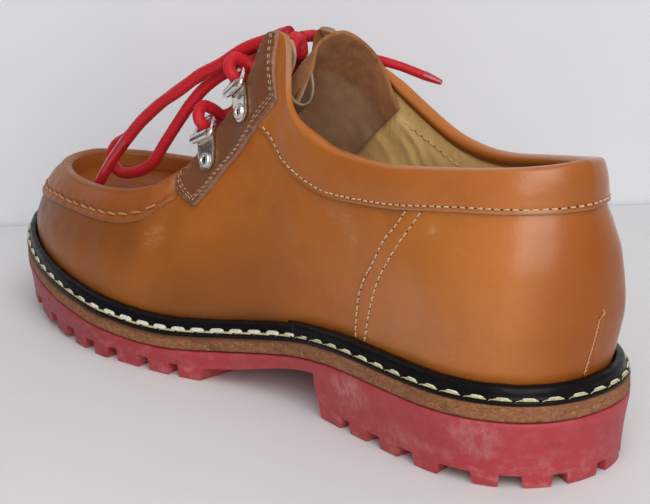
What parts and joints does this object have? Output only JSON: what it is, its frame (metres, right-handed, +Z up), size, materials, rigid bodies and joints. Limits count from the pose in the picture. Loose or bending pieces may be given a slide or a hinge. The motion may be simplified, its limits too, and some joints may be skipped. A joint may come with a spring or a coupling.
{
  "type": "laced moc-toe shoe",
  "caption": "Right low-cut laced shoe in tan leather with a raised apron seam, D-ring lacing, tabbed facings, black storm welt and a red lugged rubber sole.",
  "frame": {"origin": "on the ground, midway between heel and toe and midway between the sole's inner and outer sides", "axes": "+X from heel to toe, +Y to the shoe's inner (medial) side, +Z up"},
  "size_m": [0.3, 0.1059, 0.1273],
  "materials": {
    "rubber": "matt red moulded rubber with pale scuffs",
    "midsole": "brown stained leather edge",
    "welt": "black waxed leather with braided cream stitching",
    "insole": "undyed leather",
    "upper": "smooth tan leather, polished, burnished darker at the toe",
    "band": "smooth tan leather",
    "stay": "smooth brown leather, paler cut edges",
    "tongue": "brown suede flesh side",
    "metal": "bright nickel plate",
    "lace": "red braided round cord"
  },
  "bodies": {
    "root": {"outsole": "rubber", "midsole": "midsole", "welt": "welt", "insole": "insole", "upper": "upper", "collar_band": "band", "facing_medial": "stay", "facing_lateral": "stay", "tongue": "tongue", "lace_crossings": "lace", "lace_knot": "lace", "lace_end_medial": "lace", "lace_end_lateral": "lace", "lace_loop_medial": "lace", "lace_loop_lateral": "lace", "clip_low_medial": "metal", "clip_low_lateral": "metal", "clip_high_medial": "metal", "clip_high_lateral": "metal", "d_ring_low_medial": "metal", "d_ring_low_lateral": "metal", "d_ring_high_medial": "metal", "d_ring_high_lateral": "metal", "rivet_low_medial": "metal", "rivet_low_lateral": "metal", "rivet_high_medial": "metal", "rivet_high_lateral": "metal"}
  },
  "joints": []
}
